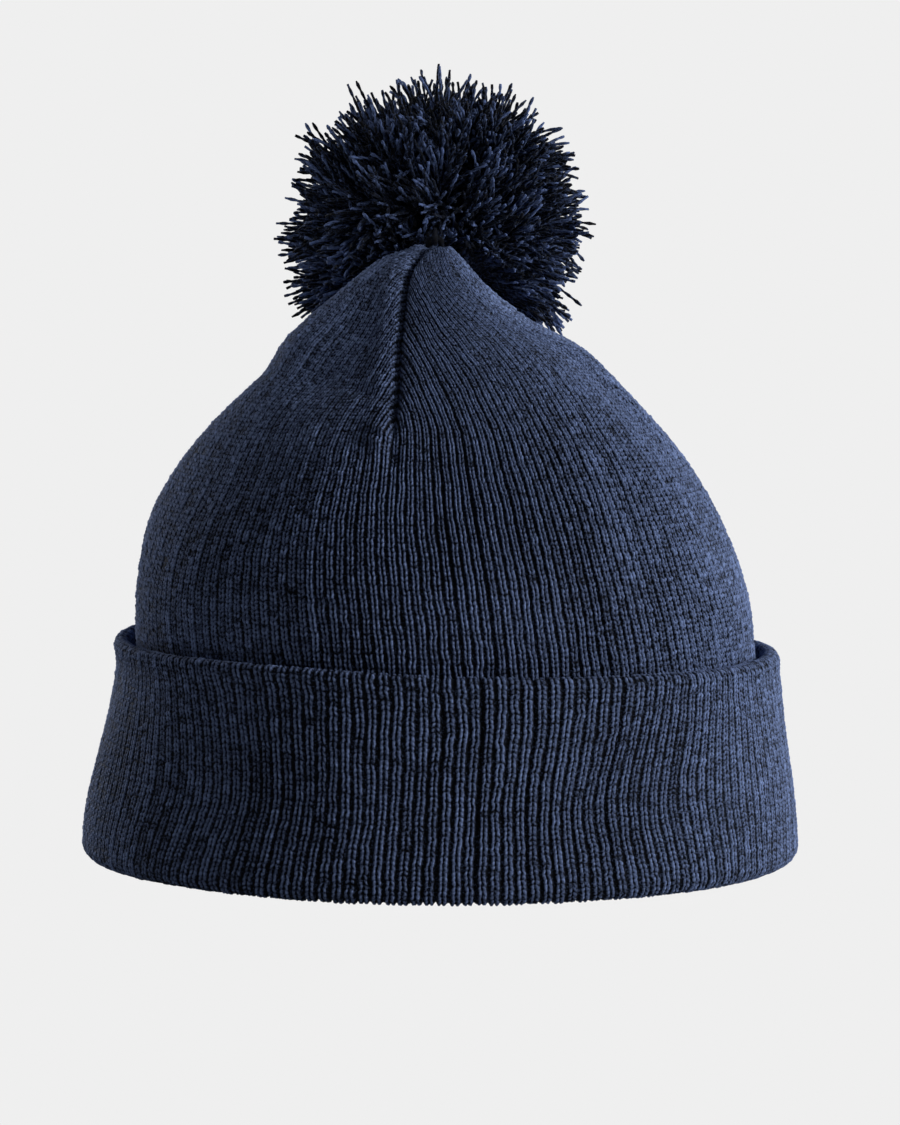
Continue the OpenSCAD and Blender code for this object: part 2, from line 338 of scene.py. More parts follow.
def knit(name, outline, material, first_rib, ribs, rows, place, relief=RELIEF, flip=1,
         section=ACROSS):
    """One patch of 1x1 rib. rows are (course, share of the notch) up the outline, and place turns
    rib numbers and lengths along the outline into (turn about the axis, extra height, how open
    the channels are from 0 to 1, shown or not)."""
    rib = np.repeat(np.arange(first_rib, first_rib + ribs), len(section))
    across = np.tile(section, (ribs, 1))
    rib = np.append(rib, first_rib + ribs)
    across = np.vstack([across, section[:1]])
    course, notch = rows[:, :1], rows[:, 1:]
    row = np.round(course[:, 0] / COURSE_STEP).astype(int)[:, None] % MOST_ROWS
    own = rib[None, :] % RIBS
    wobble = SWAY * WOBBLE[row, own] + SHAKE * SHIVER[row, own]
    # A deep channel takes its room from the ribs on both sides
    in_channel = across[:, 0] == -0.5
    beside = np.where(across[:, 0] < 0, CHANNEL[own[0]], CHANNEL[(own[0] + 1) % RIBS])
    squeeze = 1 - WIDENING * np.maximum(beside - WIDE_CHANNEL, 0) * ~in_channel
    column = rib + 0.5 + across[:, 0] * squeeze + wobble
    climb = flip * SLANT * np.abs(across[:, 0])[None, :]
    s = np.clip((course + climb) * COURSE, 0, outline.length)
    turn, extra, loose, shown = place(column, s)
    r, z, nr, nz = outline.at(s)
    on_top = across[:, 1] > 0.9
    valley = (1 - across[:, 1]) * np.where(in_channel, 1 + (CHANNEL[own] - 1) * loose, 1)
    uneven = 0.08 + 0.03 * (1 - loose)
    stitch = np.where(on_top, 0.05 * RIB_LIFT[own] + uneven * STITCH_LIFT[row, own], 0)
    depth = SHUT_DEPTH + (1 - SHUT_DEPTH) * loose
    height = 1 + stitch - valley * depth - across[:, 2] * notch
    felt = relief * (SHUT_RELIEF + (1 - SHUT_RELIEF) * loose)
    out = felt * (height - 1) + PROUD + extra
    r, z = r + nr * out, z + nz * out
    z = z + brim_rise(turn, z)
    co = np.stack([r * np.cos(turn) + lean(z), r * np.sin(turn), z], -1)
    if outline is cuff:
        co[..., 2] += smooth(z / cuff_top) * (HEM_TILT * co[..., 0] + 0.35 * hem_wave(turn, s))
    faces = grid_faces(np.arange(s.size).reshape(s.shape))
    keep = shown[:-1, :-1] | shown[:-1, 1:] | shown[1:, 1:] | shown[1:, :-1]
    faces = faces[keep].reshape(-1, 4)
    if outline is lining:
        faces = faces[:, ::-1]
    used, faces = np.unique(faces, return_inverse=True)
    uv = np.stack([np.broadcast_to(column, s.shape), s / COURSE], -1).reshape(-1, 2)[used]
    # Painted shade and light: the stitch's height goes to the colour, so the channels and the
    # notches between stitches are painted darker as shade and the proud stitch tops lighter
    shade = np.broadcast_to(height, s.shape).reshape(-1)[used]
    return mesh_object(name, co.reshape(-1, 3)[used], faces.reshape(-1, 4), material, uv, shade)


def stitch_rows(first, last, plain_to=None, up=UP):
    """Rows of a patch from one course to another. Below plain_to, which doesn't show, they are
    far apart and have no notches."""
    start = first
    rows = []
    if plain_to is not None:
        rows += [(c, 0.3) for c in np.arange(first, plain_to, PLAIN_STEP)]
        start = math.ceil(plain_to)
    for c in range(int(start), int(last)):
        rows += [(c + u, n) for u, n in up]
    rows.append((int(last), up[0][1]))
    return np.array(rows)


def drifted(turn, s, r):
    """Ribs wander a little together, and are drawn wider in some places than in others."""
    return turn + (0.7 * drift_wide(turn, s) + 0.16 * drift_fine(turn, s)) / np.maximum(r, 40)


def fanned(turn, up):
    """How far the cuff's ribs are spread towards its sides, at its hem and at its brim: turn in
    radians, up from 0 at the brim to 1 at the hem."""
    from_front = np.degrees(turn) % 360 - 270
    right, left = hump(from_front, 36, 24), hump(from_front, -42, 24)
    at_hem, at_brim = smooth((up - 0.42) / 0.66), smooth((0.5 - up) / 0.5)
    moved = right * (7.5 * at_hem + 2.5 * at_brim) - left * (10.0 * at_hem + 5.0 * at_brim)
    return moved / 94  # from mm to a turn, at the cuff's radius


def opened(turn, s, middle, wide):
    """How open the channels are: stretched round a middle, within so many degrees of it, and
    relaxed elsewhere."""
    stretched = smooth((np.cos(turn - math.radians(middle)) - np.cos(np.radians(wide))) / 0.3)
    return np.clip(0.36 + 0.64 * stretched + 0.12 * dents(turn, s + 40), 0.2, 1)


# ---- Materials ----


def new_material(name):
    """A material with its nodes, links and shader."""
    material = bpy.data.materials.new(name)
    material.use_nodes = True
    tree = material.node_tree
    return material, tree.nodes, tree.links, tree.nodes["Principled BSDF"]


def node(nodes, kind, **values):
    """A new shader node, with its settings and its sockets' values by name."""
    made = nodes.new("ShaderNode" + kind)
    for key, value in values.items():
        if hasattr(made, key) and key not in made.inputs:
            setattr(made, key, value)
        else:
            made.inputs[key].default_value = value
    return made


def added(nodes, links, a, b, clamp=False):
    """The sum of two outputs."""
    total = node(nodes, "Math", operation="ADD", use_clamp=clamp)
    links.new(a, total.inputs[0])
    links.new(b, total.inputs[1])
    return total.outputs[0]


def drive(links, shader, *drives):
    """Each drive is an output, a node with its input and output, and the shader's socket."""
    for source, by, into, out, socket in drives:
        links.new(source, by.inputs[into])
        links.new(by.outputs[out], shader.inputs[socket])


def ramp(nodes, dark, light):
    """A colour ramp between two colours."""
    colour = node(nodes, "ValToRGB")
    for stop, shown in zip(colour.color_ramp.elements, (dark, light)):
        stop.color = (*shown, 1)
    return colour


def yarn_material(name, dark, light, speckle, broad, fibre, rough, sheen, sheen_rough, shade_span):
    """Yarn: colour that follows the shade value, which carries painted light and shade: on knit it
    is darker in the channels and notches and lighter on the proud stitches, and on yarn tubes
    lighter at the cut ends and on the plies' ridges. It varies also from fibre to fibre, in flecks
    that stand partly for small glints as painted highlight, and from place to place, with fine
    fibres as bump."""
    material, nodes, links, shader = new_material(name)
    place = node(nodes, "TexCoord")
    shade = node(nodes, "Attribute", attribute_name="shade")
    fibres = node(nodes, "TexNoise", Scale=speckle, Detail=3.0, Roughness=0.65)
    patches = node(nodes, "TexNoise", Scale=broad, Detail=2.0)
    hair = node(nodes, "TexNoise", Scale=fibre, Detail=4.0, Roughness=0.75)
    for texture in (fibres, patches, hair):
        links.new(place.outputs["Object"], texture.inputs["Vector"])
    shares = []
    # The shade value gives painted shade and light. The fibres' flecks are random tone that also
    # stands in for small glints as painted highlight. The patches are random tone
    for source, (low, high), (dimmest, brightest) in (
        (shade, shade_span, (-0.12, 0.68)), (fibres, (0.3, 0.7), (-0.32, 0.40)),
        (patches, (0.3, 0.7), (-0.04, 0.07)),
    ):
        share = node(nodes, "MapRange", **{"From Min": low, "From Max": high,
                                           "To Min": dimmest, "To Max": brightest})
        links.new(source.outputs["Fac"], share.inputs["Value"])
        shares.append(share.outputs["Result"])
    level = added(nodes, links, added(nodes, links, *shares[:2]), shares[2], clamp=True)
    bump = node(nodes, "Bump", Strength=0.55, Distance=0.00035)
    roughness = node(nodes, "MapRange", **{"To Min": rough - 0.12, "To Max": rough + 0.08})
    drive(
        links, shader,
        (level, ramp(nodes, dark, light), "Fac", "Color", "Base Color"),
        (hair.outputs["Fac"], bump, "Height", "Normal", "Normal"),
        (fibres.outputs["Fac"], roughness, "Value", "Result", "Roughness"),
    )
    shader.inputs["Specular IOR Level"].default_value = 0.15
    shader.inputs["Sheen Weight"].default_value = sheen
    shader.inputs["Sheen Roughness"].default_value = sheen_rough
    shader.inputs["Sheen Tint"].default_value = (0.55, 0.68, 1.0, 1)
    return material


# dark is the colour where the shade value is low, painted shade in the channels, notches and the
# pom's depth, and light the colour where it is high, partly painted light
KNIT = yarn_material(
    "navy_knit", dark=(0.0006, 0.0011, 0.0035), light=(0.275, 0.38, 0.715), shade_span=(0.46, 1.13),
    speckle=1500, broad=45, fibre=5200, rough=0.85, sheen=0.08, sheen_rough=0.5,
)
LINING = yarn_material(
    "navy_lining", dark=(0.002, 0.003, 0.007), light=(0.14, 0.20, 0.40), shade_span=(0.42, 1.10),
    speckle=1500, broad=45, fibre=5200, rough=0.88, sheen=0.10, sheen_rough=0.5,
)
POM = yarn_material(
    "pom_yarn", dark=(0.0004, 0.0006, 0.002), light=(0.168, 0.245, 0.52), shade_span=(0.26, 1.0),
    speckle=1300, broad=30, fibre=4200, rough=0.8, sheen=0.10, sheen_rough=0.4,
)
TIE = yarn_material(
    "tie_yarn", dark=(0.0006, 0.001, 0.003), light=(0.012, 0.017, 0.036), shade_span=(0.0, 1.0),
    speckle=1500, broad=60, fibre=4200, rough=0.8, sheen=0.1, sheen_rough=0.4,
)
SEAM = yarn_material(
    "seam_thread", dark=(0.004, 0.006, 0.012), light=(0.06, 0.08, 0.14), shade_span=(-0.4, 0.6),
    speckle=1800, broad=60, fibre=5200, rough=0.7, sheen=0.1, sheen_rough=0.4,
)

# ---- Crown: four gores, which lose ribs into the darts as they climb ----

s_dart = float(np.interp(dart_low_z, crown.z, crown.s))  # where the darts begin
# Above there ribs spread away from the middle of their gore, and run out into the darts
SPREAD = 0.60
shrinking = -np.gradient(np.log(np.maximum(crown.r, 1)))
spreading = SPREAD * np.cumsum(shrinking * smooth((crown.s - s_dart + 3) / 14))
cuff_hides_z = cuff_top - 12  # the crown doesn't show below this height


def wound(r):
    """How far the crown is drawn round: most of all where it is gathered at the point."""
    return math.radians(3.8) - math.radians(29) / (1 + (r / 20) ** 3)


def crown_lift(turn, s, r, z):
    """How far the crown's cloth stands off its outline, before it is drawn round."""
    soft = 0.9 * dents(turn, s) * smooth((s - 30) / 30) * smooth(r / 20)
    return soft + dart_shape(turn, r, z) + pucker(turn, r, z) + puff(turn, r, z) + slack(turn, z)


def crown_place(first_rib):
    """Where the ribs of one gore lie, for knit."""
    middle = dart_turn + quarter * (first_rib / gore_ribs + 0.5)

    def place(column, s):
        from_middle = column - first_rib - gore_ribs / 2
        r, z = crown.at(s)[:2]
        pitch = r * quarter / gore_ribs * np.exp(np.interp(s, crown.s, spreading))
        off = from_middle * pitch / np.maximum(r, 0.1)
        limit = quarter / 2
        shown = (np.abs(off) < limit - 1e-9) | (s <= s_dart)
        turn = middle + np.clip(off, -limit, limit)
        extra = crown_lift(turn, s, r, z) + np.where(shown, 0, -0.3)
        # Open at the front, at one place on the right, and beside the darts, but not where
        # the ribs are crowded
        front = opened(turn, s, 286, 48 + 14 * smooth((92 - s) / 35))
        patch = 0.7 * hump(turn, math.radians(332), 0.2)
        ridged = 0.6 * hump((limit - np.abs(off)) * r, 0, 15) * smooth((r - 5) / 25)
        loose = np.maximum(smooth((pitch - 1.45) / 1.2) * np.maximum(front, patch), ridged)
        return drifted(turn + wound(r), s, r), extra, loose, shown

    return place


top_course = (crown.length - 1.0) / COURSE
hidden_course = float(np.interp(cuff_hides_z, crown.z, crown.s)) / COURSE
dart_course = math.floor(s_dart / COURSE)
QUARTERS = ("front_right", "back_right", "back_left", "front_left")
for k, where in enumerate(QUARTERS):
    for part, rows in (
        ("crown_side_", stitch_rows(0, dart_course, plain_to=hidden_course)),
        ("crown_gore_", stitch_rows(dart_course, top_course)),
    ):
        piece = knit(part + where, crown, KNIT, k * gore_ribs, gore_ribs, rows,
                     crown_place(k * gore_ribs))
        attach(piece, "hat")
        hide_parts("outer_crown")

# ---- Cuff ----

rising = slice(np.argmax(cuff.z))
s_hem = float(np.interp(cuff_top - HEM_HALF, cuff.z[rising], cuff.s[rising]))


def cuff_place(column, s):
    """Where the cuff's ribs lie, for knit."""
    turn = dart_turn + column * TAU / RIBS
    r, z = cuff.at(s)[:2]
    at_hem = hump(s, s_hem, 3.2)
    swell = 0.8 * dents(turn, s + 300) * np.sin(math.pi * np.clip(s / s_hem, 0, 1))
    extra = swell + slack(turn, z) + 0.6 * at_hem
    loose = np.maximum(opened(turn, s, 275, 52), 0.85 * at_hem)
    turn = turn + fanned(turn, s / s_hem)
    return drifted(turn, s * 0.8 + 500, r), extra, loose, np.ones(s.shape, bool)


for k, where in enumerate(QUARTERS):
    piece = knit(
        "cuff_knit_" + where, cuff, KNIT, k * gore_ribs, gore_ribs,
        stitch_rows(0, cuff.length / COURSE - 1), cuff_place, relief=1.1, flip=-1,
    )
    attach(piece, "hat")
    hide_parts("cuff_face", "cuff_backing")

# ---- Lining ----


def lining_lift(turn, s):
    """How far the lining's cloth stands off its outline."""
    return 0.4 * dents(turn, s + 700)


def lining_place(column, s):
    """Where the lining's ribs lie, for knit."""
    turn = dart_turn + quarter / 2 + column * TAU / RIBS
    r = lining.at(s)[0]
    return drifted(turn, s + 900, r), lining_lift(turn, s), smooth(r / 60), r > 0


LINING_UP = np.array([(0.0, 1.0), (0.5, 0.0)])  # as UP, but coarser

for k, where in enumerate(QUARTERS):
    piece = knit(
        "lining_knit_" + where, lining, LINING, k * gore_ribs, gore_ribs,
        stitch_rows(0, lining.length / COURSE - 2, up=LINING_UP), lining_place, relief=0.9,
        section=ACROSS[::2],
    )
    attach(piece, "hat")
    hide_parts("lining")

# ---- Pom pom: cut strands of two-ply yarn ----

pom_middle = node_middle("pom_binding")
STRANDS = 7000
POM_PIECES = 12
STRAND_R = 0.46
ROOT_R = 9.0  # how far from the middle the strands start
TIP_R = 42.2  # how far out most of them end
CLEAR = 1.1  # how far a strand's middle line stays off the crown
# Shares of a strand's length at which it has a point: few inside, many where it shows
STRAND_STEPS = np.concatenate([np.linspace(0, 0.45, 5)[:-1], np.linspace(0.45, 1, 23)])
STRAND_SIDES = 6
PLY_TURN = 3.2  # length over which the two plies turn once


def directions(n):
    """Evenly spread directions, then jittered, so that the ball has no pattern."""
    k = np.arange(n) + 0.5
    height = 1 - 2 * k / n
    turn = k * math.pi * (1 + math.sqrt(5))
    flat = np.sqrt(1 - height**2)
    d = np.stack([flat * np.cos(turn), flat * np.sin(turn), height], -1)
    return unit(d + rng.normal(0, 0.035, d.shape))


def swirl(d, scale, seed):
    """Three smooth random numbers for each direction: strands lean together in locks."""
    r = np.random.default_rng(seed)
    out = np.zeros_like(d)
    for _ in range(6):
        way = r.normal(0, scale, (3, 3))
        out += np.sin(d @ way + r.uniform(0, TAU, 3)) * r.uniform(0.5, 1)
    return out / 3


# The crown's outline from its point down to a radius of 86
inward = crown.r[::-1] < 86
top_r = np.maximum.accumulate(crown.r[::-1][inward])
top_z = crown.z[::-1][inward]


def crown_height(r):
    """Height of the highest cloth at that distance from the axis, in any direction."""
    return np.interp(r, top_r, top_z) + 1.25 * (fullness(r) + 2.4 * smooth((r - 6) / 20))


def pushed_off_crown(p, clear):
    """Points moved up and out to stay clear of the crown, and which of them had to move."""
    r = np.hypot(p[:, 0], p[:, 1])
    slope = (crown_height(r + 1) - crown_height(r - 1)) / 2
    normal_size = np.sqrt(1 + slope**2)
    depth = (crown_height(r) + clear * normal_size - p[:, 2]) / normal_size
    push = np.maximum(depth, 0)
    far = np.maximum(r, 1)
    out = np.stack([-slope * p[:, 0] / far, -slope * p[:, 1] / far, np.ones_like(r)], -1)
    return p + out / normal_size[:, None] * push[:, None], push > 0


# Lines where the strands part: the direction across each, and the middle of its length
PARTINGS = (
    (unit((0.60, 0.33, 0.73)), unit((0.30, -0.93, 0.20))),
    (unit((0.23, 0.26, 0.94)), unit((-0.72, -0.60, 0.34))),
    (unit((-0.85, 0.20, 0.48)), unit((-0.10, -0.95, 0.25))),
    (unit((0.10, 0.98, 0.15)), unit((0.30, -0.10, 0.95))),
)


def strand_paths():
    """The middle line of every strand, (strands, steps, 3)."""
    d = directions(STRANDS)
    d = unit(d + 0.20 * swirl(d, 2.2, 31) + 0.20 * swirl(d, 7.0, 32) + 0.06 * swirl(d, 15.0, 36))
    # Most strands end short of the ball's face, and some past it. At the upper left the face
    # is looser, with single strays, and at the upper right the ball is fuller
    airy = smooth((d @ unit((-0.35, -0.2, 0.9)) - 0.1) / 0.8)
    past = np.where(rng.uniform(size=STRANDS) < 0.30 - 0.12 * airy, rng.uniform(0, 5.0, STRANDS),
                    -np.abs(rng.normal(0, 1, STRANDS)) * (3.4 + 4.0 * airy))
    stray = smooth((d @ unit((-0.40, -0.15, 0.9)) - 0.72) / 0.2)
    stray = stray * rng.uniform(0, 1, STRANDS) ** 2.5
    fuller = smooth((d @ unit((0.28, -0.1, 0.95)) - 0.72) / 0.24)
    face = TIP_R * (1 + 0.035 * swirl(d, 2.5, 33)[:, 0])
    length = face + past - 2.2 * airy + 7.0 * stray + 4.2 * fuller - ROOT_R
    # Some strands curl over their neighbours
    loose = np.where(rng.uniform(size=(STRANDS, 1)) < 0.14, 1.15, 0.42)
    bend = 0.58 * swirl(d, 3.5, 34) + 0.34 * swirl(d, 9.0, 35) + loose * rng.normal(0, 1, d.shape)
    for across, middle in PARTINGS:
        off = d @ across
        near = hump(off, 0, 0.24) * smooth((d @ middle - 0.45) / 0.4)
        bend += 0.95 * (near * np.tanh(off / 0.05))[:, None] * across
    curl = rng.normal(0, 0.55, d.shape)
    p = pom_middle + d * ROOT_R
    points = [p]
    way = d - bend * 0.35
    for before, t in zip(STRAND_STEPS[:-1], STRAND_STEPS[1:]):
        span = t - before
        way = unit(way + (bend + curl * math.cos(5 * t) + np.array([0, 0, -0.14 * t])) * span)
        step = (length * span)[:, None]
        new, hit = pushed_off_crown(p + way * step, CLEAR + 0.1)
        way = np.where(hit[:, None], unit(new - p), way)
        p = pushed_off_crown(p + way * step, CLEAR)[0]
        points.append(p)
    return np.stack(points, 1)


def frames_along(path, closed=False):
    """Two directions square to each path at each of its points, with little twist."""
    way = np.roll(path, -1, 1) - np.roll(path, 1, 1) if closed else np.gradient(path, axis=1)
    way = unit(way)
    side = unit(np.cross(way[:, 0], np.array([0.3, 0.5, 0.81])))
    sides = []
    for k in range(path.shape[1]):
        side = unit(side - way[:, k] * np.sum(side * way[:, k], axis=1, keepdims=True))
        sides.append(side)
    first = np.stack(sides, 1)
    return first, np.cross(way, first)


def yarn_tubes(name, paths, radius, material, sides=STRAND_SIDES, ply_turn=PLY_TURN, shades=None,
               flare=0.12, closed=False):
    """Two-ply yarn swept along each path, closed at both ends or joined into rings."""
    n, steps = paths.shape[:2]
    first, second = frames_along(paths, closed)
    lengths = np.linalg.norm(np.diff(paths, axis=1), axis=2)
    along = np.concatenate([np.zeros((n, 1)), np.cumsum(lengths, axis=1)], axis=1)
    t = (STRAND_STEPS if steps == len(STRAND_STEPS) else np.linspace(0, 1, steps))[None, :]
    if closed:
        whole_turns = np.maximum(np.round(along[:, -1:] / ply_turn), 1)
        ply = np.arange(steps)[None, :] / steps * TAU * whole_turns
        grow = np.ones_like(t)
    else:
        ply = along / ply_turn * TAU + rng.uniform(0, TAU, (n, 1))
        # The cut end frays wider, and its last points are drawn in to close it
        grow = 1 + flare * smooth((t - 0.9) / 0.08) - 0.35 * (t > 0.999)
    side = np.arange(sides)
    around = (TAU * side / sides)[None, None, :]
    shape = 1 + 0.30 * np.cos(2 * (around - ply[:, :, None] / 2))
    size = radius * 0.86 * shape * grow[:, :, None]
    co = paths[:, :, None, :] + size[..., None] * (
        np.cos(around)[..., None] * first[:, :, None, :]
        + np.sin(around)[..., None] * second[:, :, None, :]
    )
    beside = (side + 1) % sides
    first_step = np.arange(n)[:, None, None] * steps
    here = np.arange(steps if closed else steps - 1)[None, :, None]
    base, after = (first_step + here) * sides, (first_step + (here + 1) % steps) * sides
    quads = np.stack([base + side, base + beside, after + beside, after + side], -1).reshape(-1, 4)
    if not closed:
        half = [(0, j, j + 1, j + 2) for j in range(1, sides - 1, 2)]
        caps = []
        for k, turned in ((0, True), (steps - 1, False)):
            corner = (np.arange(n) * steps + k)[:, None] * sides
            for quad in half:
                cap = corner + np.array(quad)
                caps.append(cap[:, ::-1] if turned else cap)
        quads = np.vstack([quads, *caps])
    own = rng.uniform(0, 1, n) if shades is None else shades
    own = np.repeat(own, steps * sides).reshape(n, steps, sides)
    # Painted light and shade: lighter towards the cut end, where the strand is lit, with its inner
    # part painted dark as shade, and lighter on the plies' ridges than between them as painted
    # highlight. Each tube's own tone also differs at random
    lit = own**2 * (0.2 + 0.75 * smooth((t - 0.72) / 0.28))[..., None] + 0.4 * (shape - 0.7) / 0.6
    return mesh_object(name, co.reshape(-1, 3), quads, material, shade=lit.ravel())


paths = strand_paths()
order = np.argsort(paths[:, -1, 2])
for k, part in enumerate(np.array_split(order, POM_PIECES)):
    shades = rng.uniform(0, 1, len(part))
    piece = yarn_tubes(f"pom_strands_{k + 1}", paths[part], STRAND_R, POM, shades=shades)
    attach(piece, "pom")
    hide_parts("pom_yarn")

# ---- Tie, binding and knots: the same yarn, twisted tighter ----


def through(points, n):
    """n points on a smooth curve through the given ones, evenly spaced."""
    points = np.array(points, float)
    ends = np.vstack([2 * points[0] - points[1], points, 2 * points[-1] - points[-2]])
    line = []
    for k in range(1, len(ends) - 2):
        a, b, c, d = ends[k - 1 : k + 3]
        t = np.linspace(0, 1, 24, endpoint=False)[:, None]
        line.append(
            0.5 * (2 * b + (c - a) * t + (2 * a - 5 * b + 4 * c - d) * t**2
                   + (3 * b - a - 3 * c + d) * t**3)
        )
    line = np.vstack([*line, points[-1:]])
    along = np.concatenate(([0], np.cumsum(np.linalg.norm(np.diff(line, axis=0), axis=1))))
    even = np.linspace(0, along[-1], n)
    return np.stack([np.interp(even, along, line[:, i]) for i in range(3)], -1)


def yarn_piece(name, body, node_name, paths, radius, closed=False, material=TIE):
    """A CAD node's place taken by real yarn: one tube for each path, all of one length."""
    piece = yarn_tubes(name, np.array(paths), radius, material, sides=10, ply_turn=5.2,
                       flare=0.0, closed=closed)
    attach(piece, body)
    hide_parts(node_name)
    return piece


def ring(centre, across, up, radius, n):
    """A closed ring of points round a centre, in the plane of two directions."""
    turn = TAU * np.arange(n) / n
    return centre + radius * (
        np.cos(turn)[:, None] * np.array(across) + np.sin(turn)[:, None] * np.array(up)
    )


anchor_low, anchor_high = (np.array(v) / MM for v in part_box("tie_anchor"))
yarn_r = (anchor_high[1] - anchor_low[1]) / 2
leg_x = anchor_high[0] - yarn_r
pivot_z = anchor_high[2] - yarn_r
knot_mid = np.array([0, 0, anchor_low[2] - 5.3])
yarn_piece("tie_loop", "tie", "tie_anchor", [through([
    (-leg_x * 0.8, 0, anchor_low[2] - 1), (-leg_x, 0, anchor_low[2] + 4), (-leg_x, 0, pivot_z - 2),
    (-leg_x * 0.75, 0, pivot_z - 0.4), (0, 0, pivot_z), (leg_x * 0.75, 0, pivot_z - 0.4),
    (leg_x, 0, pivot_z - 2), (leg_x, 0, anchor_low[2] + 4), (leg_x * 0.8, 0, anchor_low[2] - 1),
], 90)], yarn_r)

tail_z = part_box("anchor_knot")[0][2] / MM
knot_paths = [
    through([knot_mid + v for v in (
        (-1.6, 0, 4.3), (-2.6, 1.8, 1.2), (0.4, 3.2, 0.4), (3.0, 0.6, 0.8), (1.2, -2.9, 1.2),
        (-2.4, -2.0, -0.4), (-2.2, 1.6, -1.6), (1.2, 1.8, -2.2), (1.6, -0.6, -4.0),
    )] + [(2.6, -0.8, tail_z + 6), (3.6, -0.4, tail_z + 0.6)], 80),
    through([knot_mid + v for v in (
        (1.6, 0, 4.3), (2.8, -1.6, 1.4), (-0.2, -3.3, -0.6), (-3.1, -0.4, 0.6), (-0.8, 2.9, -1.0),
        (2.6, 1.8, -0.8), (2.0, -1.8, -1.8), (-1.0, -1.6, -2.4), (-1.8, 0.6, -4.0),
    )] + [(-2.8, 0.8, tail_z + 6.5), (-3.4, 1.2, tail_z + 1.2)], 80),
]
# The knot's first turns lie flat under the lining's point and close the legs' hole
wound_on = np.linspace(0, 1, 80)
coil_r, coil_turn = 0.15 + 4.0 * wound_on, 5 * TAU * wound_on
knot_paths.append(np.stack([
    coil_r * np.cos(coil_turn), coil_r * np.sin(coil_turn), anchor_low[2] - 1.8 - 0.9 * wound_on,
], -1))
yarn_piece("inner_knot", "tie", "anchor_knot", knot_paths, yarn_r * 1.25)

ring_mid = node_middle("tie_ring")
ring_out, ring_yarn_r = node_size("tie_ring")[2] / 2, node_size("tie_ring")[0] / 2
yarn_piece("pom_tie_ring", "pom", "tie_ring",
           [ring(ring_mid, (0, 1, 0), (0, 0, 1), ring_out - ring_yarn_r, 60)], ring_yarn_r,
           closed=True)
reach_way = unit(pom_middle - ring_mid)
yarn_piece("pom_tie_yarn", "pom", "tie_yarn", [through([
    ring_mid + reach_way * (ring_out - 0.4), ring_mid + reach_way * 15 + (0.3, 0, 0.2),
    ring_mid + reach_way * 26 - (0.2, 0, 0.1), pom_middle - reach_way * 8,
], 70)], yarn_r)

# The binding goes round the waist four times, across the line from tie to middle
binding_knot = node_middle("binding_knot")
waist_up = np.cross((1, 0, 0), reach_way)
waist = np.linalg.norm(binding_knot - pom_middle) - 3.4
turn = TAU * np.linspace(0, 1, 60)
winds = []
for k in range(4):
    off = (k - 1.5) * 0.85 + 0.4 * turn / TAU
    winds.append(
        pom_middle + reach_way * off[:, None]
        + waist * (np.cos(turn)[:, None] * np.array((1, 0, 0)) + np.sin(turn)[:, None] * waist_up)
    )
yarn_piece("pom_binding_winds", "pom", "pom_binding", winds, 0.62)
yarn_piece("binding_knot_yarn", "pom", "binding_knot", [through([binding_knot + v for v in (
    (-1.2, -0.3, 0.2), (0.2, 1.1, 0.6), (1.2, 0.1, -0.3), (0.1, -1.1, 0.4), (-0.8, 0.2, 1.0),
    (0.6, 0.6, -1.0), (1.1, -0.7, 0.5), (-0.4, 0.1, 1.3),
)], 50)], 0.55)

# The hank's middle, drawn in to a waist: the same strands, side by side
CORE_LINES = 96
GOLDEN_TURN = 2.399963  # turning by this angle fills a disc evenly
core_lines = []
for k in range(CORE_LINES):
    turn, out = k * GOLDEN_TURN, math.sqrt((k + 0.5) / CORE_LINES)
    side = math.cos(turn) * np.array((1.0, 0, 0)) + math.sin(turn) * waist_up
    core_lines.append(through([
        pom_middle + reach_way * u + side * out * (9.2 if abs(u) > 5 else waist - 1.2)
        * (0.8 if abs(u) > 8 else 1) for u in (-8.6, -5.5, 0, 5.5, 8.6)
    ], 14))
yarn_piece("pom_hank_middle", "pom", "pom_core", core_lines, 0.6, material=POM)

# ---- Seam allowances and gathering threads, between the layers ----

SEAM_TOP, SEAM_DEEP = 2.0, 2.3  # its start below the shown face, and its depth
# One edge's section: how far it reaches from the seam, and its depth as a share of the whole
EDGE = ((0.12, 0), (0.75, 0), (1.05, 0.3), (1.0, 0.65), (0.85, 1), (0.4, 1.06), (0.2, 0.95),
        (0.14, 0.5))
# Quads that close it at its lower and its upper end
LOWER_END = np.array([(7, 6, 5, 4), (3, 2, 1, 0), (3, 4, 7, 0)])
UPPER_END = np.array([(0, 1, 2, 3), (4, 5, 6, 7), (0, 3, 4, 7)])


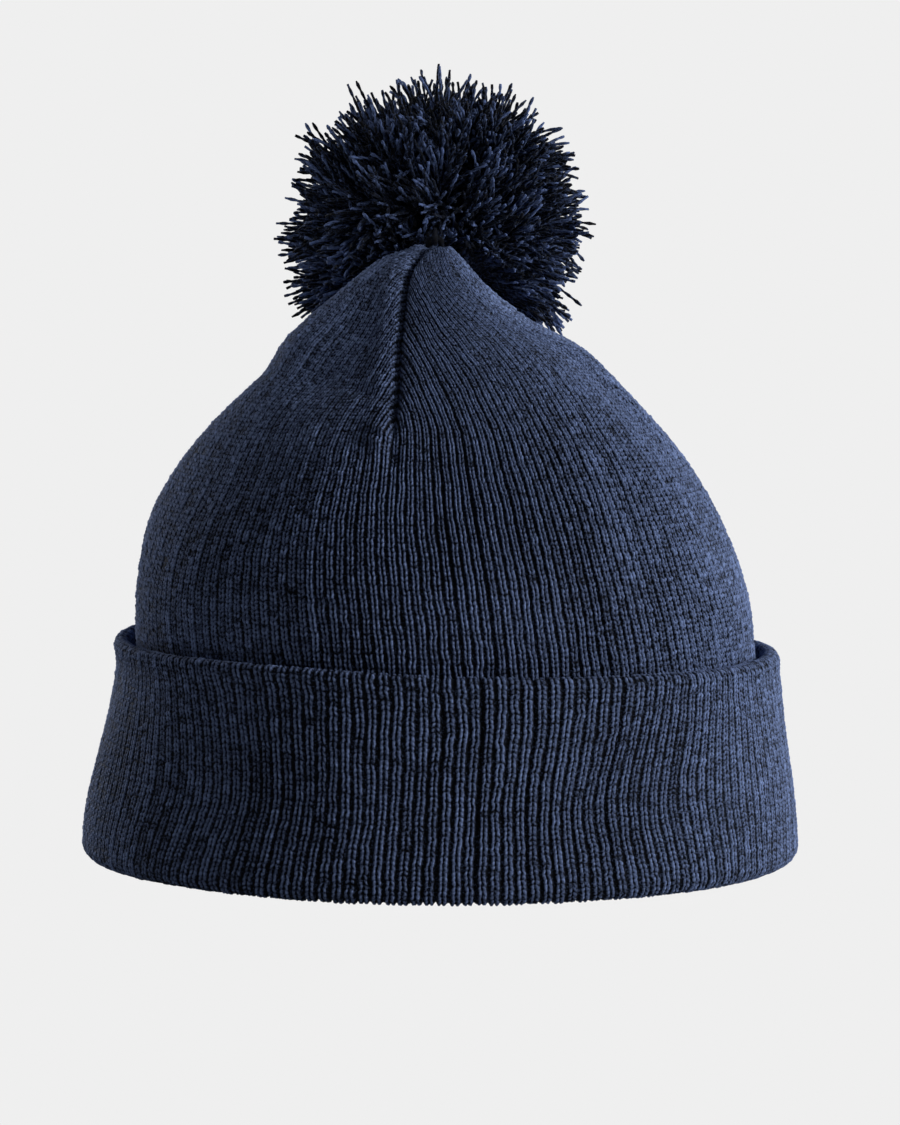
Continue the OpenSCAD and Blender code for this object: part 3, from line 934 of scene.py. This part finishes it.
def allowance(name, node_name, outline, turn, wind, lift, height_from):
    """Two knitted edges sewn together with overlocking thread, inside a layer. wind says how far
    round its line is drawn at a radius, and lift how far the cloth stands off the outline."""
    narrow = outline.r < 80
    last = float(np.interp(-9, -outline.r[narrow], outline.s[narrow]))
    first = float(np.interp(height_from, outline.z, outline.s))
    s = np.arange(first, last, 0.5)
    r, z, nr, nz = outline.at(s)
    grow = 0.35 + 0.65 * smooth((s - first) / 8)
    around = turn + wind(r)
    lifted = lift(np.full(s.shape, turn), s, r, z)
    stitch = 0.12 * np.cos(TAU * s / COURSE)

    def points(across, down):
        """Places beside the seam's own line, across it and below the cloth."""
        rr, zz = r - nr * (down - lifted), z - nz * (down - lifted)
        return np.stack([
            rr * np.cos(around) - across * np.sin(around) + lean(zz),
            rr * np.sin(around) + across * np.cos(around), zz,
        ], -1)

    piece_co, piece_faces, start = [], [], 0
    for way in (1, -1):
        rows = np.stack([
            points(way * (a + stitch * (0.2 < d < 0.95)), SEAM_TOP + SEAM_DEEP * d * grow)
            for a, d in EDGE
        ], 1)
        n, m = rows.shape[:2]
        index = start + np.arange(n * m).reshape(n, m)
        nxt = np.roll(index, -1, 1)
        faces = np.stack([index[:-1], nxt[:-1], nxt[1:], index[1:]], -1).reshape(-1, 4)
        faces = np.vstack([faces, index[0][LOWER_END], index[-1][UPPER_END]])
        piece_co.append(rows.reshape(-1, 3))
        piece_faces.append(faces if way < 0 else faces[:, ::-1])
        start += n * m
    cloth = mesh_object(name, np.vstack(piece_co), np.vstack(piece_faces), SEAM,
                        shade=np.full(start, 0.3))
    phase = TAU * s / 2.2
    down = SEAM_TOP + grow * SEAM_DEEP * (0.85 + 0.28 * np.cos(phase) ** 2)
    over = points(1.35 * np.sin(phase), down)
    thread = yarn_tubes(name + "_thread", over[None], 0.2, SEAM, sides=6, ply_turn=2, flare=0)
    for piece in (cloth, thread):
        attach(piece, "hat")
        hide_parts(node_name)


lining_dart_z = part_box("lining_seam_front_right")[0].z / MM
for k, where in enumerate(("front", "right", "back", "left")):
    allowance("dart_allowance_" + where, "dart_seam_" + where, crown, dart_turn + k * quarter,
              wound, crown_lift, dart_low_z)
for k, where in enumerate(QUARTERS):
    allowance("lining_allowance_" + where, "lining_seam_" + where, lining,
              dart_turn + (k + 0.5) * quarter, lambda r: 0 * r,
              lambda turn, s, r, z: lining_lift(turn, s), lining_dart_z)


def gather(name, node_name):
    """Gathering thread: a ring that runs up and down nine times."""
    thick = node_size(node_name)[2] / 2
    radius = node_size(node_name)[0] / 2 - thick
    n = 96
    path = ring(node_middle(node_name), (1, 0, 0), (0, 1, 0), radius, n)
    path[:, 2] += 0.3 * np.sin(TAU * np.arange(n) / n * 9)
    yarn_piece(name, "hat", node_name, [path], thick * 0.62, closed=True, material=SEAM)


gather("crown_gathering_thread", "crown_gather")
gather("lining_gathering_thread", "lining_gather")

# ---- Care label: blank satin tape, folded at its lower edge ----


def satin():
    """Satin tape: fine cross threads and a soft shine."""
    material, nodes, links, shader = new_material("label_satin")
    place = node(nodes, "TexCoord")
    warp = node(nodes, "TexWave", wave_type="BANDS", bands_direction="Z", Scale=900.0,
                Distortion=0.6, Detail=1.0)
    weft = node(nodes, "TexWave", wave_type="BANDS", bands_direction="X", Scale=700.0,
                Distortion=0.8, Detail=1.0)
    soil = node(nodes, "TexNoise", Scale=160.0, Detail=4.0)
    for texture in (warp, weft, soil):
        links.new(place.outputs["Object"], texture.inputs["Vector"])
    weave = added(nodes, links, warp.outputs["Fac"], weft.outputs["Fac"])
    colour = ramp(nodes, (0.66, 0.66, 0.62), (0.84, 0.84, 0.81))
    bump = node(nodes, "Bump", Strength=0.25, Distance=0.0001)
    rough = node(nodes, "MapRange", **{"To Min": 0.35, "To Max": 0.55})
    drive(
        links, shader, (soil.outputs["Fac"], colour, "Fac", "Color", "Base Color"),
        (weave, bump, "Height", "Normal", "Normal"),
        (weft.outputs["Fac"], rough, "Value", "Result", "Roughness"),
    )
    shader.inputs["Sheen Weight"].default_value = 0.15
    return material


SATIN = satin()
label_low, label_high = (np.array(v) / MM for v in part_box("care_label"))
label_w, label_h = label_high[0] - label_low[0], label_high[2] - label_low[2]
TAPE_T = 0.22
LABEL_STITCHES = 8


def lining_wall(z):
    """The lining's radius at a height, above the turn at its lower edge."""
    return np.interp(z, lining.z[lining.s > 8], lining.r[lining.s > 8])


def label():
    """The tape hangs from its sewn top edge in two leaves that part a little below the seam."""
    length = 2 * label_h
    n, m = 72, 37
    u = np.linspace(0, 1, n)
    down = np.abs(u - 0.5) * 2  # 1 at the sewn ends and 0 at the fold
    front = u > 0.5
    z = label_low[2] + 0.35 + (label_h - 0.35) * down
    least, turned = 0.16, 0.06  # the least gap, and the share of a leaf that the fold takes up
    gap = least + 0.55 * np.sin(math.pi * down) ** 0.8 * (1 - down)
    gap = np.where(down < turned, least + (gap - least) * smooth(down / turned), gap)
    w = np.linspace(-0.5, 0.5, m)
    wall_r = lining_wall(z)
    curl = 0.5 * (1 - down[:, None]) * (2 * w[None, :]) ** 2
    base = wall_r[:, None] - 0.55 - curl
    r = base + np.where(front, -gap, gap * 0.6)[:, None] - np.where(front, TAPE_T, 0)[:, None]
    turn = math.pi / 2 - w[None, :] * label_w / wall_r[:, None]
    middle = np.stack([r * np.cos(turn) + lean(z)[:, None], r * np.sin(turn),
                       np.broadcast_to(z[:, None], r.shape)], -1)
    normal = unit(np.cross(np.gradient(middle, axis=0), np.gradient(middle, axis=1)))
    co = np.vstack([(middle + normal * TAPE_T / 2).reshape(-1, 3),
                    (middle - normal * TAPE_T / 2).reshape(-1, 3)])
    index = np.arange(n * m).reshape(n, m)
    top = grid_faces(index).reshape(-1, 4)
    faces = [top[:, ::-1], top + n * m]
    rim = np.concatenate([index[0], index[1:, -1], index[-1, -2::-1], index[-2:0:-1, 0]])
    nxt = np.roll(rim, -1)
    faces.append(np.stack([rim, nxt, nxt + n * m, rim + n * m], -1))
    piece = mesh_object("care_label_tape", co, np.vstack(faces), SATIN)
    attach(piece, "hat")
    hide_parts("care_label")
    return piece, length


label_piece, label_length = label()
stitch_z = node_middle("label_stitches")[2]
stitch_wall = float(lining_wall(stitch_z))
stitch_r = stitch_wall - np.array([-0.3, 1.15, 1.25, 1.15, -0.3])
stitch_paths = []
for k in range(LABEL_STITCHES):
    middle = (k + 0.5) / LABEL_STITCHES - 0.5
    across = np.array([-0.42, -0.25, 0.0, 0.25, 0.42]) / LABEL_STITCHES + middle
    turn = math.pi / 2 - across * label_w / stitch_wall
    stitch_paths.append(through(np.stack([
        stitch_r * np.cos(turn) + lean(stitch_z), stitch_r * np.sin(turn), np.full(5, stitch_z)
    ], -1), 16))
stitches = yarn_piece("label_sewing", "hat", "label_stitches", stitch_paths, 0.19, material=SEAM)

# ---- Stage, light and camera ----

PALE = 0.863  # the paper's colour as it is seen


def seen_apart(nodes, links, seen, unseen, output):
    """The camera sees one shader, and the light that falls on the hat meets the other."""
    ray, pick = node(nodes, "LightPath"), node(nodes, "MixShader")
    links.new(ray.outputs["Is Camera Ray"], pick.inputs["Fac"])
    links.new(unseen.outputs[0], pick.inputs[1])
    links.new(seen.outputs[0], pick.inputs[2])
    links.new(pick.outputs[0], output.inputs["Surface"])


def stage_material():
    """Evenly pale paper that throws some light back on the hat."""
    material, nodes, links, shader = new_material("paper")
    nodes.remove(shader)
    seen = node(nodes, "Emission", Strength=1.0, Color=(PALE, PALE, PALE, 1))
    unseen = node(nodes, "BsdfDiffuse", Color=(0.55, 0.55, 0.55, 1))
    seen_apart(nodes, links, seen, unseen, nodes["Material Output"])
    return material


def disc(name, radius, z, material, sides=96):
    """A flat disc: a rim, a small inner ring and a middle."""
    side = np.arange(sides)
    beside = (side + 1) % sides
    turn = TAU * side / sides
    rim = np.stack([radius * np.cos(turn), radius * np.sin(turn), np.full(sides, z)], -1)
    inner = rim * np.array([0.02, 0.02, 1.0])
    quads = np.stack([side, beside, sides + beside, sides + side], -1)
    centre = [(2 * sides, sides + k, sides + (k + 1) % sides, sides + (k + 2) % sides)
              for k in range(0, sides, 2)]
    co = np.vstack([rim, inner, [[0, 0, z]]])
    return mesh_object(name, co, np.vstack([quads, np.array(centre)]), material)


FLOOR_R = 9000
FLOOR_Z = -0.8  # just below the brim's lowest stitches
floor = disc("paper_floor", FLOOR_R, FLOOR_Z, stage_material())

world = bpy.data.worlds.new("studio")
bpy.context.scene.world = world
world.use_nodes = True
sky = world.node_tree.nodes
glow = sky["Background"]
glow.inputs["Color"].default_value = (0.9, 0.95, 1.0, 1)
glow.inputs["Strength"].default_value = 0.05
backdrop = node(sky, "Background", Strength=1.0, Color=(PALE, PALE, PALE, 1))
seen_apart(sky, world.node_tree.links, backdrop, glow, sky["World Output"])


def softbox(name, place, target, size, power, spread=180):
    """A rectangular light aimed at a target, in metres."""
    light = bpy.data.lights.new(name, "AREA")
    light.shape = "RECTANGLE"
    light.size, light.size_y = size
    light.energy = power
    light.spread = math.radians(spread)
    ob = linked(name, light)
    ob.location = place
    ob.rotation_euler = (Vector(target) - Vector(place)).to_track_quat("-Z", "Y").to_euler()


aim = (0, 0, 0.1)
softbox("key_right", (1.35, -0.60, 0.55), aim, (0.5, 0.9), 15)
softbox("rim_right", (1.1, 0.9, 0.45), aim, (0.4, 1.2), 9)
softbox("rim_left", (-1.05, 1.25, 0.4), aim, (0.4, 1.2), 21)
softbox("front", (0.60, -1.6, 0.10), aim, (0.6, 0.6), 2.6)
softbox("pom_left", (-1.25, -0.75, 0.42), (-0.035, 0.04, 0.185), (0.12, 0.12), 0.009, 7)

# The camera stands in front of the hat, about as high as the pom pom's top
CAMERA_AWAY = 1.56
CAMERA_UP = 0.218
FRAME_WIDTH = 0.252  # what the picture's width takes in at the hat's axis
LOOK_X = 0.0042
LOOK_Z = 0.0825
camera = linked("camera", bpy.data.cameras.new("camera"))
camera.location = (LOOK_X, -CAMERA_AWAY, CAMERA_UP)
look = Vector((LOOK_X, 0, LOOK_Z)) - camera.location
camera.rotation_euler = look.to_track_quat("-Z", "Y").to_euler()
camera.data.sensor_fit = "HORIZONTAL"
camera.data.lens = camera.data.sensor_width * look.length / FRAME_WIDTH
bpy.context.scene.camera = camera
bpy.context.scene.view_settings.view_transform = "Standard"
